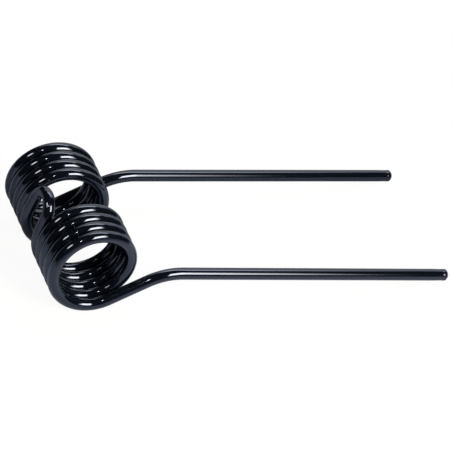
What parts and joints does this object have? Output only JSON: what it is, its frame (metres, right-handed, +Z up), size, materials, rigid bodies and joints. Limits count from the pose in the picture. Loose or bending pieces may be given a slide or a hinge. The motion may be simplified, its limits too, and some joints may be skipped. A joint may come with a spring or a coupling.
{
  "type": "baler pick-up tine",
  "caption": "Double torsion spring tine: one round wire with two opposite coils, a bolt loop between them and two straight, nearly parallel fingers.",
  "frame": {"origin": "on the common axis of the two coils, midway between them", "axes": "+Y along the coils' axis, +X towards the finger ends, +Z up with the tine lying at rest on its coils and finger ends"},
  "size_m": [0.1963, 0.0774, 0.0422],
  "materials": {
    "black_paint": "glossy black paint on spring steel wire"
  },
  "bodies": {
    "root": {"tine_wire": "black_paint"}
  },
  "joints": []
}
